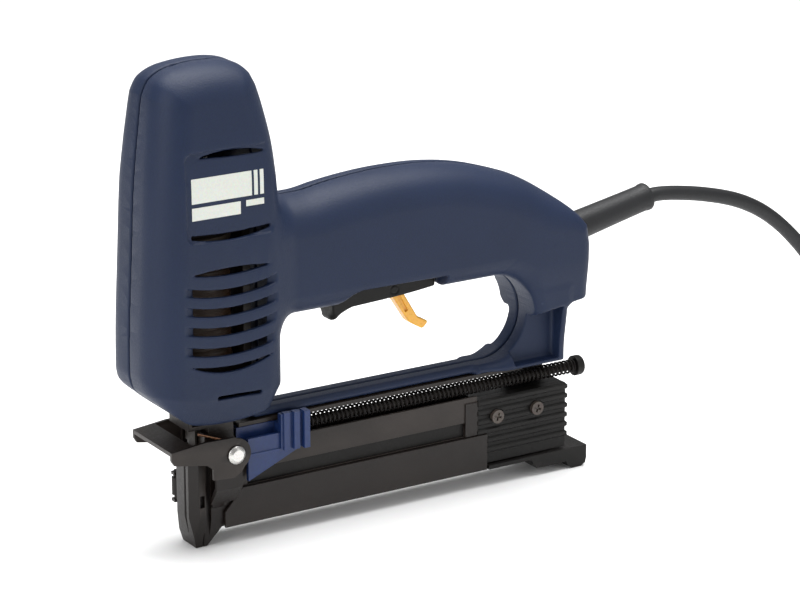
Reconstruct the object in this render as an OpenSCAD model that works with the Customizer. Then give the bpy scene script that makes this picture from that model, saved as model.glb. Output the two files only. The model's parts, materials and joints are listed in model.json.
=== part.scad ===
/* [Tower] */
// Width of the tower from side to side
tower_w = 44; // [40:1:56]
// Front of the tower at its lower edge, ahead of the staple exit
tower_front = 27; // [25:1:32]
// Back of the tower behind the staple exit
tower_back = 32; // [31:1:36]
// Height of the tower's top above the ground
tower_top = 197; // [196:1:230]
// Height of the tower's underside above the ground
tower_base = 54; // [54:0.5:56]
// Wall of the moulded shells
wall = 2.4; // [1.8:0.2:2.8]

/* [Grip] */
// Width of the hand grip
grip_w = 34; // [30:1:40]
// Height of the grip's underside above the ground
grip_base = 92; // [90:1:98]
// Height of the grip at its crown
grip_h = 50; // [46:1:60]
// Rear face of the grip and column behind the staple exit
grip_rear = 181; // [178:1:200]
// Width of the bar under the hand opening
bar_w = 13; // [10:1:16]
// Top of the bar above the ground
bar_top = 53.4; // [52.5:0.2:55]

/* [Trigger] */
// Width of the trigger
trigger_w = 12.4; // [9:0.2:14]
// Side play between the trigger and its slot
trigger_play = 0.5; // [0.3:0.1:1]
// Diameter of the trigger's pin
trigger_pin_d = 3; // [2.5:0.5:3.5]
// Width of the amber lock lever
lock_w = 4.6; // [3.4:0.2:6]

/* [Magazine] */
// Length of the side plates from the nose to the rear block
magazine_len = 115; // [110:1:119]
// Thickness of the steel side plates
plate_t = 1.2; // [1:0.1:1.4]
// Outside width of the lower guide plates
magazine_w = 19; // [18.6:0.2:21]
// Underside of the magazine above the ground
magazine_z = 7.5; // [7:0.5:9]
// Thickness of the staple rail's blade
rail_t = 4; // [3.4:0.2:4.4]
// Top of the staple rail, under the staples' crowns
rail_top = 33; // [30:0.5:33]
// Travel of the staple pusher
pusher_travel = 76; // [60:1:77]

/* [Guide rod] */
// Diameter of the guide rod
rod_d = 3.4; // [2.6:0.2:3.8]
// Outside diameter of the long follower spring
spring_d = 6.2; // [5.6:0.2:6.6]
// Height of the guide rod above the ground
rod_z = 43.4; // [43:0.1:43.8]

/* [Drive] */
// Diameter of the solenoid's plunger
plunger_d = 16; // [14:1:18]
// Outside diameter of the winding
winding_d = 32; // [28:1:32]
// Width of the driver blade, as wide as a staple's crown
blade_w = 6; // [5:0.5:6.4]
// Thickness of the driver blade
blade_t = 1.2; // [1:0.1:1.4]
// Driving stroke
stroke = 35; // [28:1:35]

/* [Nose] */
// Outside width of the latch lever with its lip
lever_w = 33; // [31:1:38]
// Shank diameter of the latch rivet
rivet_d = 5; // [4:0.5:5.5]
// Head diameter of the latch rivet
rivet_head_d = 7.6; // [7:0.2:9]

/* [Cord] */
// Diameter of the mains cord
cord_d = 6.4; // [5.6:0.2:6.4]
// Diameter of the strain relief where it leaves the grip
relief_d = 12.8; // [11:0.2:14]

/* [Hidden] */
$fn = 48;
EPS = 0.01;
BIG = 400;

// Colours
NAVY = [0.16, 0.20, 0.30];
BLUE = [0.13, 0.22, 0.42];
BLACK = [0.10, 0.10, 0.11];
PAINTED = [0.22, 0.19, 0.18];
STEEL = [0.72, 0.72, 0.74];
AMBER = [0.93, 0.66, 0.16];
RUBBER = [0.13, 0.13, 0.14];

// Running clearances
fit = 0.05;
gap = 0.3;
play = 0.4;

// ---------------------------------------------------------------- shared shapes

// A plane outline drawn as [x, z], given a thickness in Y and centred on the middle plane
module upright(width) {
    rotate([90, 0, 0]) linear_extrude(width, center = true) children();
}

// A plane outline drawn as [y, z], extruded forwards and backwards along X
module across(length) {
    rotate([90, 0, 90]) linear_extrude(length, center = true) children();
}

// A cylinder along Y
module pin_y(d, length) {
    rotate([90, 0, 0]) cylinder(d = d, h = length, center = true);
}

// A cylinder along X that starts at x = 0
module rod_x(d, length) {
    rotate([0, 90, 0]) cylinder(d = d, h = length);
}

// A box given by its two opposite corners
module block(low, high) {
    translate(low) cube(high - low);
}

// Everything on one side of the middle plane: side is -1 for left and 1 for right
module half(side) {
    translate([-BIG / 2, side > 0 ? 0 : -BIG / 2, 0]) cube([BIG, BIG / 2, BIG / 1.5]);
}

function arc(c, r, from, to, n) = [for (i = [0:n]) let (a = from + (to - from) * i / n)
    [c.x + r * cos(a), c.y + r * sin(a)]];

// ---------------------------------------------------------------- housing

front_lean = 7;
front_corner = 14;
rear_corner = 10;
crown_r = 9;
chamfer_z = 17.5;
chamfer_x = 13;
bevel_z = 13;
bevel_y = 5;
grip_end_z = 77;
column_w = 28;
column_step_z = 74;
column_rear = 171;
column_low_w = 24;
pocket_depth = 5;
hand_front = tower_back;
hand_rear = 154;
hand_r = (grip_base - bar_top) / 2;
housing_foot_z = 49.6;

// Side outline of the tower
module tower_side() {
    polygon(concat(
        [[-tower_front + chamfer_x, tower_base], [-tower_front, tower_base + chamfer_z],
         [-tower_front + 2, tower_base + 68], [-tower_front + front_lean - 3, tower_top - 44]],
        arc([-tower_front + front_lean + crown_r, tower_top - crown_r - 1], crown_r, 170, 95, 6),
        [[6, tower_top]],
        arc([tower_back - 5.5 - crown_r, tower_top - crown_r - 1], crown_r, 85, 12, 6),
        [[tower_back - 2.8, tower_top - 29], [tower_back - 0.6, tower_top - 50],
         [tower_back, tower_top - 60], [tower_back, tower_base + 12]],
        arc([tower_back - 10, tower_base + 10], 10, 0, -90, 6)));
}

// Front outline of the tower, half widths
module tower_front_view() {
    w = tower_w / 2;
    right = concat([[w - bevel_y, tower_base], [w, tower_base + bevel_z], [w, tower_top - 45],
        [w - 2.4, tower_top - 17]], arc([w - 12, tower_top - 11], 10.6, 10, 90, 6));
    polygon(concat(right, [for (i = [len(right) - 1:-1:0]) [-right[i].x, right[i].y]]));
}

// Plan outline of the tower
module tower_plan() {
    w = tower_w / 2;
    right = concat(arc([-tower_front + front_corner, w - front_corner], front_corner, 180, 90, 8),
        arc([tower_back - rear_corner, w - rear_corner], rear_corner, 90, 0, 6));
    polygon(concat(right, [for (i = [len(right) - 1:-1:0]) [right[i].x, -right[i].y]]));
}

// The tower, drawn in by the given amount on every side
module tower(inset) {
    intersection() {
        upright(tower_w) offset(delta = -inset) tower_side();
        across(BIG / 2) offset(delta = -inset) tower_front_view();
        linear_extrude(BIG) offset(delta = -inset) tower_plan();
    }
}

// Stations along the grip: place along X, lower edge, upper edge, all in mm
grip_crown = grip_base + grip_h;
grip_stations = [[20, grip_base + 1, grip_crown - 5], [50, grip_base, grip_crown - 4],
    [75, grip_base, grip_crown - 0.8], [100, grip_base, grip_crown], [125, grip_base, grip_crown - 3],
    [146, grip_base - 4, grip_crown - 10], [163, grip_end_z, grip_crown - 21],
    [grip_rear - 6, grip_end_z - 2.5, grip_base + 16]];

// The grip as one blended solid, drawn in by the given amount
module grip(inset) {
    r_top = grip_w / 2 - inset;
    r_low = 9 - inset;
    hull()
        for (s = grip_stations, side = [-1, 1]) {
            translate([s.x, side * 0.1, max(s.z - r_top - inset, s.y + r_top + inset)])
                rotate([0, 90, 0]) cylinder(r = r_top, h = 0.2, $fn = 32);
            translate([s.x, side * (grip_w / 2 - 9), s.y + 9])
                rotate([0, 90, 0]) cylinder(r = r_low, h = 0.2, $fn = 32);
        }
}

// The part of the grip behind the column, closed by a sloping rear face
module grip_tail() {
    upright(grip_w - 2)
        polygon([[150, grip_base - 6], [grip_rear - 8, column_step_z], [grip_rear + 0.4, grip_end_z],
            [grip_rear, 95], [grip_rear - 6, 112], [150, 120]]);
}

// The column that joins the grip to the bar, with a pocket in each side
module column() {
    difference() {
        union() {
            upright(column_w) polygon([[140, 90], [130, column_step_z], [grip_rear - 6, column_step_z],
                [grip_rear - 1, 90]]);
            upright(column_low_w) polygon([[130, housing_foot_z], [column_rear, housing_foot_z],
                [column_rear, column_step_z + EPS], [130, column_step_z + EPS]]);
        }
        for (side = [-1, 1])
            translate([0, side * (column_low_w / 2 - pocket_depth / 2 + EPS), 0])
                upright(pocket_depth + EPS) pocket();
    }
}

// Outline of the pocket: an arched front edge and a straight back
module pocket() {
    polygon(concat([[column_rear - 4, 55], [145.5, 55]],
        arc([165.5, 56], 20, 180, 108, 6), [[column_rear - 4, 73.5]]));
}

// Bar under the hand opening
module bar() {
    upright(bar_w) polygon([[tower_back - 6, housing_foot_z], [145, housing_foot_z], [145, bar_top],
        [tower_back - 6, bar_top]]);
}

// The hand opening, with a full round end behind and a round corner in front
module hand_opening() {
    upright(BIG)
        polygon(concat(arc([hand_rear - hand_r, bar_top + hand_r], hand_r, -90, 90, 16),
            arc([hand_front + 9, grip_base - 9], 9, 90, 180, 6),
            arc([hand_front + 3, bar_top + 3], 3, 180, 270, 3)));
}

// Half length of the bracket round the plunger's way, with the front lower screw clear of it
bracket_half = plunger_d / 2 + 2;

// Places of the shell screws as [x, z]
screw_places = [[-bracket_half - 4.6, 64.5], [25, 64.5], [-15, tower_top - 50], [22.5, tower_top - 50],
    [48, grip_base + 36], [134, grip_base + 34], [160, grip_base - 8]];
screw_d = 3;
boss_d = 7;
screw_head_d = 5.6;
screw_head_y = 9;
screw_tip_y = -9;

// Vent slots in each side of the tower: [height, depth of slot, front end, rear end]
vents = [[163.8, 2.6, -6, 22.4], [131.8, 3, -9.4, 25], [117.8, 3.2, -8, 22.6], [109.6, 3.4, -8, 22.6],
    [101.8, 3.4, -8, 22.6], [94, 3.4, -8, 22.6], [86, 3.4, -8, 22.6], [79, 2.6, -8, 21.6],
    [66.8, 1.4, 0.6, 19.6]];

module vent_slots() {
    for (v = vents)
        translate([0, 0, v.x - v.y / 2])
            block([v.z, -BIG, 0], [v[3], BIG, v.y]);
}

// Recess for the label, in each side of the tower
label_low = [-10, 135];
label_high = [25, 160];
label_depth = 1.2;

module label_recess() {
    for (side = [-1, 1])
        translate([0, side * (tower_w / 2 + 1 - label_depth), 0])
            upright(2)
                polygon([label_low, [label_high.x, label_low.y], label_high, [label_low.x, label_high.y]]);
}

// The strain relief leaves the grip along this line
relief_root = [178, 0, 102.4];
relief_tilt = 12;
relief_len = 48.6;
relief_hold = 6;

module along_relief() {
    translate(relief_root) rotate([0, 90 - relief_tilt, 0]) children();
}

// Outside form of both shells together
module housing_form() {
    difference() {
        union() {
            tower(0);
            difference() {
                union() {
                    grip(0);
                    grip_tail();
                    column();
                }
                hand_opening();
            }
            bar();
        }
        label_recess();
    }
}

// Hollow inside both shells
module housing_hollow() {
    difference() {
        union() {
            tower(wall);
            difference() {
                grip(wall);
                block([-BIG, -BIG, 0], [tower_back - wall - 1, BIG, BIG]);
                block([140, -BIG, 0], [BIG, BIG, grip_base + 1]);
                block([140, -BIG, 0], [146, BIG, grip_base + 3.2]);
            }
        }
        // Round the shell screws the material stays
        for (p = screw_places)
            translate([p.x, 0, p.y]) pin_y(boss_d, BIG);
        // So it does round the trigger's pin
        for (side = [-1, 1])
            translate([trigger_x, side * (trigger_w / 2 + trigger_play + grip_w / 2), trigger_z])
                pin_y(8, grip_w);
    }
}

module housing_half(side) {
    difference() {
        intersection() {
            housing_form();
            half(side);
        }
        housing_hollow();
        vent_slots();
        // Mouth in the tower's underside for the nose bracket
        block([-8.4, -8.4, tower_base - 1], [15.4, 8.4, tower_base + wall + 6]);
        // Slot for the trigger
        slot = trigger_w / 2 + trigger_play;
        block([trigger_front - 1.5, -slot, grip_base - 3], [trigger_rear + 0.8, slot, grip_base + 12]);
        // Seat of the strain relief
        along_relief() translate([0, 0, -relief_hold]) cylinder(d = relief_d, h = BIG);
        along_relief() translate([0, 0, -30]) cylinder(d = cord_d + 1, h = 40);
        for (p = screw_places) {
            translate([p.x, 0, p.y]) pin_y(screw_d + 2 * fit, 2 * abs(screw_tip_y) + 2);
            translate([p.x, screw_head_y + BIG / 2, p.y]) pin_y(screw_head_d + 0.4, BIG);
        }
        translate([trigger_x, 0, trigger_z]) pin_y(trigger_pin_d + 2 * fit, trigger_pin_len + 0.4);
    }
}

module housing_left() {
    color(NAVY) housing_half(-1);
}

module housing_right() {
    color(NAVY) housing_half(1);
}

module housing_screws() {
    color(STEEL)
        for (p = screw_places)
            translate([p.x, 0, p.y]) {
                translate([0, (screw_head_y + screw_tip_y) / 2, 0]) pin_y(screw_d, screw_head_y - screw_tip_y);
                translate([0, screw_head_y + 1.2, 0])
                    difference() {
                        pin_y(screw_head_d, 2.4);
                        for (turn = [0, 90])
                            translate([0, 1.4, 0]) rotate([0, turn, 0]) cube([3, 1.6, 0.8], center = true);
                    }
            }
}

// Plain panel in the left recess
label_t = 0.6;

module label_plate() {
    inset = 1;
    color([0.88, 0.89, 0.9])
        translate([0, -tower_w / 2 + label_depth - label_t / 2, 0])
            upright(label_t)
                polygon([[label_low.x + inset, label_low.y + inset], [label_high.x - inset, label_low.y + inset],
                    [label_high.x - inset, label_high.y - inset], [label_low.x + inset, label_high.y - inset]]);
}

// ---------------------------------------------------------------- trigger group

trigger_x = 106;
trigger_z = 95.2;
trigger_front = 61;
trigger_rear = 109.4;
trigger_pin_len = trigger_w + 9;
trigger_top = 97.6;
lock_x = 90;
lock_z = 92.6;
lock_pin_d = 2.4;
spring_seat_x = 67.6;

module trigger() {
    color(BLACK)
        difference() {
            upright(trigger_w)
                polygon([[trigger_rear, trigger_top], [trigger_rear, 91.4], [88, 89], [73, 88.3], [69.8, 88],
                    [67, 86.2], [64.3, 83.6], [62, 83.2], [trigger_front, 84.5],
                    [trigger_front, trigger_top]]);
            // Slot that the lock lever turns in
            block([lock_x - 3.8, -lock_w / 2 - gap, 80], [trigger_rear - 6.5, lock_w / 2 + gap, BIG]);
            translate([trigger_x, 0, trigger_z]) pin_y(trigger_pin_d + 2 * fit, BIG);
            translate([lock_x, 0, lock_z]) pin_y(lock_pin_d + 2 * fit, BIG);
            // Seat of the return spring
            translate([spring_seat_x, 0, trigger_top - 4]) cylinder(d = 6.4, h = 10);
        }
}

module trigger_pin() {
    color(STEEL) translate([trigger_x, 0, trigger_z]) pin_y(trigger_pin_d, trigger_pin_len);
}

trigger_spring_top = grip_base + 26;

module trigger_spring() {
    low = trigger_top - 4;
    color(STEEL)
        translate([spring_seat_x, 0, low])
            difference() {
                cylinder(d = 5.6, h = trigger_spring_top - low);
                translate([0, 0, -1]) cylinder(d = 4, h = trigger_spring_top);
            }
}

module lock_lever() {
    color(AMBER)
        difference() {
            union() {
                upright(lock_w)
                    polygon([[lock_x - 2.6, lock_z - 1], [lock_x + 2.4, lock_z + 1.6], [lock_x + 4.4, 88.4],
                        [lock_x + 11.4, 78.8], [lock_x + 16.6, 75.8], [lock_x + 17, 73.6],
                        [lock_x + 15.4, 72.2], [lock_x + 9, 74], [lock_x + 6.4, 77]]);
                translate([lock_x, 0, lock_z]) pin_y(6, lock_w);
            }
            translate([lock_x, 0, lock_z]) pin_y(lock_pin_d + 2 * fit, BIG);
            // Groove moulded in each side
            for (side = [-1, 1])
                translate([0, side * lock_w / 2, 0])
                    upright(1) polygon([[lock_x + 1.6, 87], [lock_x + 2.6, 87.6], [lock_x + 7, 80],
                        [lock_x + 6, 79.4]]);
        }
}

module lock_lever_pin() {
    color(STEEL) translate([lock_x, 0, lock_z]) pin_y(lock_pin_d, trigger_w - 0.4);
}

button_x = 82;
button_d = 3;
switch_z = grip_base + 9.4;

module switch_body() {
    color(BLACK)
        difference() {
            block([button_x - 10, -3.2, switch_z], [button_x + 10, 3.2, switch_z + 10]);
            translate([button_x, 0, switch_z - 1]) cylinder(d = button_d + 2 * gap, h = 6);
            for (x = [-5, 5])
                translate([button_x + x, 0, switch_z + 7]) pin_y(2.4, BIG);
        }
}

module switch_button() {
    color([0.75, 0.3, 0.2])
        translate([button_x, 0, trigger_top + gap]) cylinder(d = button_d, h = switch_z - trigger_top + 1);
}

board_y = 6;

module circuit_board() {
    color([0.1, 0.35, 0.2])
        difference() {
            block([56, board_y, grip_base + 16], [124, board_y + 1.6, grip_base + 37]);
            translate([60, board_y, grip_base + 20]) pin_y(3, BIG);
            translate([120, board_y, grip_base + 20]) pin_y(3, BIG);
        }
}

// Capacitor, power switch on its cooling plate, resistors and the two terminals
module board_parts() {
    color([0.25, 0.25, 0.3]) {
        translate([78, board_y - 6 - EPS, grip_base + 28]) pin_y(12, 12);
        block([92, board_y - 5, grip_base + 22], [104, board_y - EPS, grip_base + 34]);
        for (x = [108, 113, 118])
            translate([x, board_y - 2 - EPS, grip_base + 22]) cylinder(d = 3, h = 12);
        block([62, board_y - 8, grip_base + 30], [69, board_y - EPS, grip_base + 36]);
    }
}

// ---------------------------------------------------------------- drive

yoke_low = 72;
yoke_high = 136;
yoke_end = 6;
yoke_leg = 3.4;
yoke_y = 26;
leg_in = winding_d / 2 + 0.6;
flange_t = 2.4;
bore_d = plunger_d + 0.6;
tube_d = plunger_d + 3.6;

module solenoid_frame() {
    color([0.5, 0.5, 0.52])
        difference() {
            block([-leg_in - yoke_leg, -yoke_y / 2, yoke_low], [leg_in + yoke_leg, yoke_y / 2, yoke_high]);
            block([-leg_in, -BIG, yoke_low + yoke_end], [leg_in, BIG, yoke_high - yoke_end]);
            cylinder(d = bore_d + 1, h = BIG);
        }
}

module coil_bobbin() {
    low = yoke_low + yoke_end;
    high = yoke_high - yoke_end;
    color([0.85, 0.83, 0.78])
        rotate_extrude()
            polygon([[bore_d / 2, low], [winding_d / 2 + 0.4, low], [winding_d / 2 + 0.4, low + flange_t],
                [tube_d / 2, low + flange_t], [tube_d / 2, high - flange_t],
                [winding_d / 2 + 0.4, high - flange_t], [winding_d / 2 + 0.4, high], [bore_d / 2, high]]);
}

module coil_winding() {
    low = yoke_low + yoke_end + flange_t;
    high = yoke_high - yoke_end - flange_t;
    color([0.45, 0.27, 0.14])
        translate([0, 0, low])
            difference() {
                cylinder(d = winding_d, h = high - low);
                translate([0, 0, -1]) cylinder(d = tube_d + 2 * fit, h = BIG);
            }
}

// The blade ends just above the ground at the end of its stroke
blade_low = stroke + 0.6;
plunger_low = yoke_low + 28;
plunger_len = 85;
plunger_high = plunger_low + plunger_len;
plunger_flange_t = 3;
blade_tongue = 8;

module plunger() {
    color(STEEL)
        difference() {
            union() {
                translate([0, 0, plunger_low]) cylinder(d = plunger_d, h = plunger_high - plunger_low);
                translate([0, 0, plunger_high - plunger_flange_t])
                    cylinder(d = plunger_d + 5, h = plunger_flange_t);
            }
            block([-blade_t / 2 - fit, -blade_w / 2 - fit, 0],
                [blade_t / 2 + fit, blade_w / 2 + fit, plunger_low + blade_tongue + fit]);
            translate([0, 0, plunger_low + 4]) rotate([0, 90, 0]) cylinder(d = 2.6, h = BIG, center = true);
        }
}

module driver_blade() {
    color(STEEL)
        difference() {
            block([-blade_t / 2, -blade_w / 2, blade_low], [blade_t / 2, blade_w / 2, plunger_low + blade_tongue]);
            translate([0, 0, plunger_low + 4]) rotate([0, 90, 0]) cylinder(d = 2.6, h = BIG, center = true);
        }
}

module driver_pin() {
    color(STEEL)
        translate([0, 0, plunger_low + 4])
            rotate([0, 90, 0]) cylinder(d = 2.5, h = plunger_d - 1.6, center = true);
}

module return_spring() {
    high = plunger_high - plunger_flange_t;
    color(STEEL)
        translate([0, 0, yoke_high])
            difference() {
                cylinder(d = plunger_d + 4, h = high - yoke_high);
                translate([0, 0, -1]) cylinder(d = plunger_d + 1, h = BIG);
            }
}

bumper_low = 62;

// Pad under the plunger, between the bracket's two uprights
module plunger_bumper() {
    color(RUBBER)
        translate([0, 0, bumper_low])
            difference() {
                cylinder(d = plunger_d - 1, h = 2.4);
                block([-blade_t, -blade_w / 2 - 0.5, -1], [blade_t, blade_w / 2 + 0.5, 5]);
            }
}

module top_bumper() {
    color(RUBBER) translate([0, 0, plunger_high + 0.3]) cylinder(d = 14, h = tower_top - wall - plunger_high - 2);
}

module cable_clamp() {
    color(BLACK)
        difference() {
            block([150, -8, grip_base + 1.2], [158, 8, grip_base + 9.4]);
            along_relief() translate([0, 0, -40]) cylinder(d = cord_d + 0.1, h = 60);
            for (side = [-1, 1])
                translate([154, side * 6, 0]) cylinder(d = 2.2, h = BIG);
        }
}

module clamp_screws() {
    color(STEEL)
        for (side = [-1, 1])
            translate([154, side * 6, grip_base + 1.6]) {
                cylinder(d = 2.1, h = 7.8);
                translate([0, 0, 7.8]) cylinder(d = 3.6, h = 1.4);
            }
}

// The cord from the clamp to the strain relief, and its two insulated leads to the board
module inner_leads() {
    color(RUBBER)
        along_relief() translate([0, 0, -28]) cylinder(d = cord_d - 0.1, h = 28 + 31.8);
    color([0.2, 0.3, 0.7])
        for (side = [-1, 1])
            translate([125, side * 1.5, grip_base + 4.4]) rod_x(1.8, 25.2);
}

// ---------------------------------------------------------------- nose

rivet_x = 10.5;
rivet_z = 40.5;
nose_rear = 14;
nose_top = 48;
cheek_w = 16;
channel_w = blade_w + 0.6;
gate_front = -5;
gate_top = 40;
ear_in = lever_w / 2 - 3.2;
ear_out = ear_in + 1.5;
ear_len = 11.6;
lever_in = lever_w / 2 - 1.4;

// The rear wall of the driver's channel, with an ear on each side for the rivet
module nose_body() {
    color(PAINTED)
        difference() {
            union() {
                intersection() {
                    upright(cheek_w)
                        polygon([[1, 0], [2.6, 0], [8.6, magazine_z], [nose_rear, magazine_z],
                            [nose_rear, nose_top], [1, nose_top]]);
                    // Narrower towards the exit
                    across(60)
                        polygon([[-5.5, 0], [5.5, 0], [cheek_w / 2, 12], [cheek_w / 2, nose_top],
                            [-cheek_w / 2, nose_top], [-cheek_w / 2, 12]]);
                }
                for (side = [0, 1])
                    mirror([0, side, 0])
                        translate([nose_rear + 0.1 - ear_len / 2, 0, 0])
                            across(ear_len)
                                polygon([[7, 15], [ear_out, 26], [ear_out, rivet_z + 5.5], [ear_in, rivet_z + 5.5],
                                    [ear_in, 27], [7, 17.2]]);
            }
            // Way through for the rail and its staples
            block([-1, -channel_w / 2, magazine_z - 2], [BIG, channel_w / 2, rail_top + 1.6]);
            // Room for the flanges of the gate
            for (side = [-1, 1])
                translate([0, side * (cheek_w / 2), 0])
                    block([-1, -1.6, -1], [3.4, 1.6, gate_top + 1.6]);
            // Front ends of the lower plates
            for (side = [-1, 1])
                translate([0, side * (guide_in + plate_t / 2), 0])
                    block([guide_front - gap, -plate_t / 2 - 0.1, 0],
                        [BIG, plate_t / 2 + 0.1, guide_top + gap]);
            // Seats of the rivet and the guide rod
            translate([rivet_x, 0, rivet_z]) pin_y(rivet_d + 2 * fit, BIG);
            translate([nose_rear - 1, rod_y, rod_z]) rod_x(rod_d + 2 * fit, 2);
        }
}

// Front plate of the nose: chamfered upright edges, a tapering tip and a V groove down the front
module nose_gate() {
    color(PAINTED)
        difference() {
            intersection() {
                linear_extrude(gate_top)
                    polygon([[gate_front, -5], [gate_front + 3, -8], [1.4, -8], [1.4, -6.7], [0.65, -6.7],
                        [0.65, 6.7], [1.4, 6.7], [1.4, 8], [gate_front + 3, 8], [gate_front, 5]]);
                upright(40)
                    polygon([[gate_front + 2.6, 0], [2, 0], [2, gate_top], [gate_front, gate_top],
                        [gate_front, 13], [gate_front + 1.2, 6]]);
                across(40)
                    polygon([[-5.5, 0], [5.5, 0], [8, 12], [8, gate_top], [-8, gate_top], [-8, 12]]);
            }
            // Driver channel
            block([-0.95, -channel_w / 2, -1], [BIG, channel_w / 2, BIG]);
            // V groove
            translate([0, 0, 6])
                linear_extrude(BIG) polygon([[gate_front - 1, -3.4], [gate_front + 1.6, -2.2], [gate_front - 1, -1]]);
            // Notch in the left flange
            block([-1.4, -9, 17.4], [0.6, -6, 22.4]);
        }
    // Knuckle of the hinge
    color(PAINTED)
        translate([gate_x, gate_y, gate_low])
            difference() {
                union() {
                    cylinder(d = 3.8, h = gate_knuckle);
                    block([-0.6, -2.4, 0], [1, 0, gate_knuckle]);
                }
                translate([0, 0, -1]) cylinder(d = gate_pin_d + 2 * fit, h = BIG);
            }
}

gate_x = -2.4;
gate_y = 10.1;
gate_low = 18;
gate_knuckle = 7.4;
gate_pin_d = 2;

// Hinge pin of the gate, held in two lugs bent from the nose body
module gate_pin() {
    color(PAINTED) {
        translate([gate_x, gate_y, gate_low - 3]) cylinder(d = gate_pin_d, h = gate_knuckle + 6);
        for (z = [gate_low - 3, gate_low + gate_knuckle + 1])
            difference() {
                translate([0, 0, z])
                    linear_extrude(1.3)
                        polygon([[gate_x - 1.5, gate_y - 1.2], [gate_x - 1.5, gate_y + 1.6], [gate_x + 2, gate_y + 1.6],
                            [6, 9.4], [6, 8], [3.8, 8], [1.8, 8.6], [gate_x + 2, 8.6]]);
                translate([gate_x, gate_y, z - 1]) cylinder(d = gate_pin_d, h = 4);
            }
    }
}

bracket_front = -6;
bracket_t = 1.6;

// Steel bracket that hangs the nose from the solenoid frame, with a shelf for the plunger's pad
module nose_bracket() {
    w = cheek_w / 2;
    shelf = bumper_low - bracket_t;
    color(STEEL)
        difference() {
            union() {
                block([bracket_front, -w, 50.4], [nose_rear, w, 52]);
                block([3, -w, nose_top], [nose_rear, w, 52]);
                block([bracket_front, -w, 50.4], [bracket_front + bracket_t, w, bumper_low]);
                block([-bracket_half, -w, shelf], [nose_rear, w, bumper_low]);
                block([-bracket_half, -w, shelf], [-bracket_half + bracket_t, w, yoke_low]);
                block([nose_rear - bracket_t, -w, 50.4], [nose_rear, w, yoke_low]);
            }
            block([-1.4, -blade_w / 2 - 0.5, 40], [1.4, blade_w / 2 + 0.5, BIG]);
            translate([0, rod_y, rod_z + 11]) rod_x(3, BIG);
        }
}

lip_front = -18;
web_rear = -8.6;
lever_low_front = 41;
web_top = 48;
web_t = 1.6;

// Lever with a wide lip: a web across the front and a side plate round each end of the rivet
module latch_lever() {
    color(PAINTED)
        difference() {
            union() {
                for (side = [-1, 1])
                    translate([0, side * (lever_in + 0.7), 0])
                        upright(1.4) {
                            difference() {
                                union() {
                                    polygon(concat([[lip_front + 1.2, lever_low_front], [lip_front, lever_low_front + 2],
                                        [lip_front, 46.4], [-3, web_top], [rivet_x - 1, rivet_z + 7.2]],
                                        arc([rivet_x, rivet_z], 6.6, 80, -20, 8),
                                        [[rivet_x + 2.4, 33], [rivet_x - 1, 31], [0.4, 31.6], [0.4, 36],
                                        [-2.6, 38.4]]));
                                    translate([rivet_x, rivet_z]) circle(6.6);
                                }
                                translate([rivet_x, rivet_z]) circle(d = rivet_d + 2 * fit);
                            }
                        }
                upright(2 * lever_in + 0.02)
                    polygon([[lip_front, 46.4 - web_t], [lip_front, 46.4], [web_rear, 47.4],
                        [web_rear, 47.4 - web_t]]);
            }
        }
}

// Rivet with a domed head at each end
module latch_rivet() {
    reach = lever_w / 2 + gap;
    color(STEEL)
        translate([rivet_x, 0, rivet_z])
            rotate([90, 0, 0])
                rotate_extrude()
                    polygon([[0, -reach - 1.6], [rivet_head_d / 2 - 1.4, -reach - 1.5],
                        [rivet_head_d / 2, -reach - 0.5], [rivet_head_d / 2, -reach], [rivet_d / 2, -reach],
                        [rivet_d / 2, reach], [rivet_head_d / 2, reach], [rivet_head_d / 2, reach + 0.5],
                        [rivet_head_d / 2 - 1.4, reach + 1.5], [0, reach + 1.6]]);
}

wire_d = 1;
latch_coil_y = -cheek_w / 2 - 0.3;

// Torsion spring of copper-coloured wire, wound on the rivet, with one leg to the bracket
module latch_spring() {
    color([0.62, 0.38, 0.26]) {
        for (turn = [0:2])
            translate([rivet_x, latch_coil_y - wire_d / 2 - turn * (wire_d + 0.1), rivet_z])
                rotate([90, 0, 0])
                    rotate_extrude() translate([3.6, 0]) circle(d = wire_d, $fn = 16);
        translate([rivet_x - 0.6, latch_coil_y - 0.5, rivet_z + 3.6])
            rotate([0, -68, 0]) cylinder(d = wire_d, h = 13, $fn = 16);
    }
}

// ---------------------------------------------------------------- magazine

mag_front = nose_rear + 0.4;
mag_rear = nose_rear + magazine_len;
plate_out = 8;
plate_in = plate_out - plate_t;
plate_top = 40.3;
guide_in = magazine_w / 2 - plate_t;
guide_top = 23.2;
guide_rear = 133.4;
guide_front = 9;
window_front = 20;
window_low = guide_top + 0.4;
window_high = 29.6;
strip_w = 6;
tongue_low = 26;
tongue_rear = mag_rear + 40;
tongue_high = 36;
rod_y = -4;

// Upper plate, with the long slot that shows the staples and a tongue held in the rear block
module side_plate(side) {
    color(PAINTED)
        translate([0, side * (plate_in + plate_t / 2), 0])
            upright(plate_t)
                difference() {
                    polygon([[mag_front, 12], [mag_rear, 12], [mag_rear, tongue_low], [tongue_rear, tongue_low],
                        [tongue_rear, tongue_high], [mag_rear, tongue_high], [mag_rear, plate_top],
                        [mag_front, plate_top]]);
                    polygon([[window_front, window_low], [mag_rear - strip_w, window_low], [mag_rear - strip_w, window_high],
                        [window_front, window_high]]);
                    for (p = block_screw_places)
                        translate(p) circle(d = block_screw_d + 0.2);
                }
}

module side_plate_left() {
    side_plate(-1);
    // Upright strip that stands proud at the rear end
    color(PAINTED)
        block([mag_rear - strip_w, -plate_out - 0.6, guide_top + 0.2], [mag_rear, -plate_out, plate_top - 2.4]);
}

module side_plate_right() {
    side_plate(1);
    color(PAINTED)
        block([mag_rear - strip_w, plate_out, guide_top + 0.2], [mag_rear, plate_out + 0.6, plate_top - 2.4]);
}

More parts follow.
